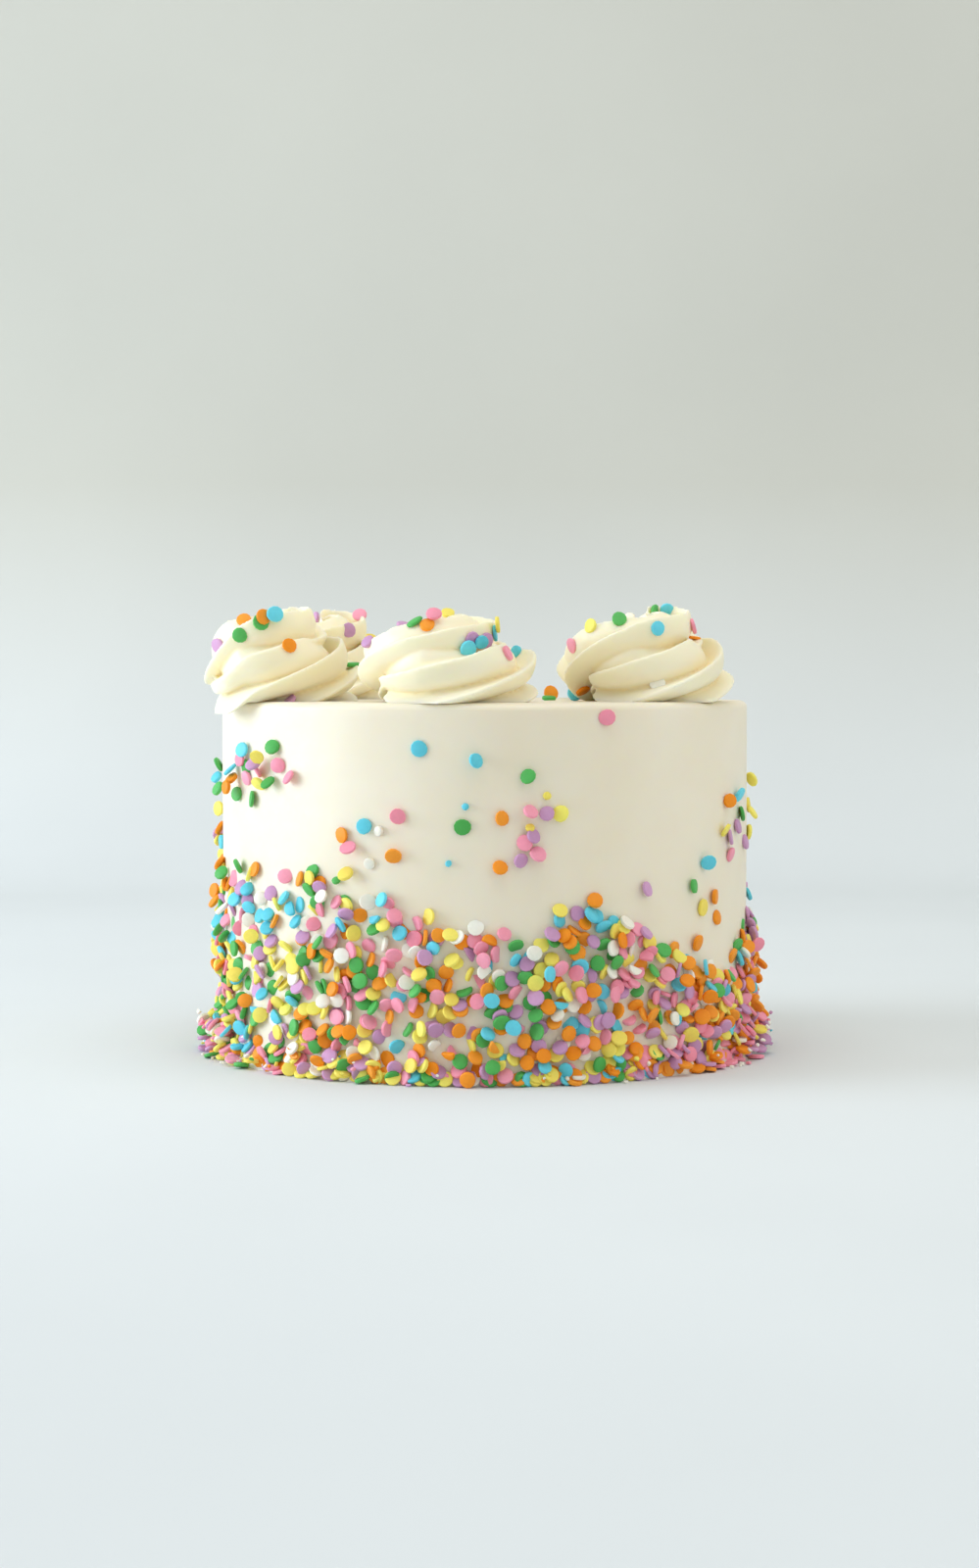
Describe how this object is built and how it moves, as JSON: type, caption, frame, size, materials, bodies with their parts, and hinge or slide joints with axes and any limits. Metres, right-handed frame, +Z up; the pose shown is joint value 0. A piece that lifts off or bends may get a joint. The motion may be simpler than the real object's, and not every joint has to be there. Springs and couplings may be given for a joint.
{
  "type": "layer cake",
  "caption": "Round frosted layer cake with a band of confetti sprinkles round its lower side and a ring of piped rosettes on top.",
  "frame": {"origin": "centre of the round cake's flat base, on the surface that it rests on", "axes": "+Z up through the rosettes, -Y towards the side that the picture shows, +X to that view's right"},
  "size_m": [0.1838, 0.1772, 0.1433],
  "materials": {
    "frosting": "smooth scraped buttercream, satin",
    "rosette_frosting": "piped buttercream, soft satin",
    "sprinkle_orange": "matt pressed sugar",
    "sprinkle_yellow": "matt pressed sugar",
    "sprinkle_green": "matt pressed sugar",
    "sprinkle_pink": "matt pressed sugar",
    "sprinkle_purple": "matt pressed sugar",
    "sprinkle_blue": "matt pressed sugar",
    "sprinkle_white": "matt pressed sugar"
  },
  "bodies": {
    "root": {"cake": "frosting", "rosette_front": "rosette_frosting", "rosette_front_right": "rosette_frosting", "rosette_back_right": "rosette_frosting", "rosette_back": "rosette_frosting", "rosette_back_left": "rosette_frosting", "rosette_front_left": "rosette_frosting"}
  },
  "joints": []
}
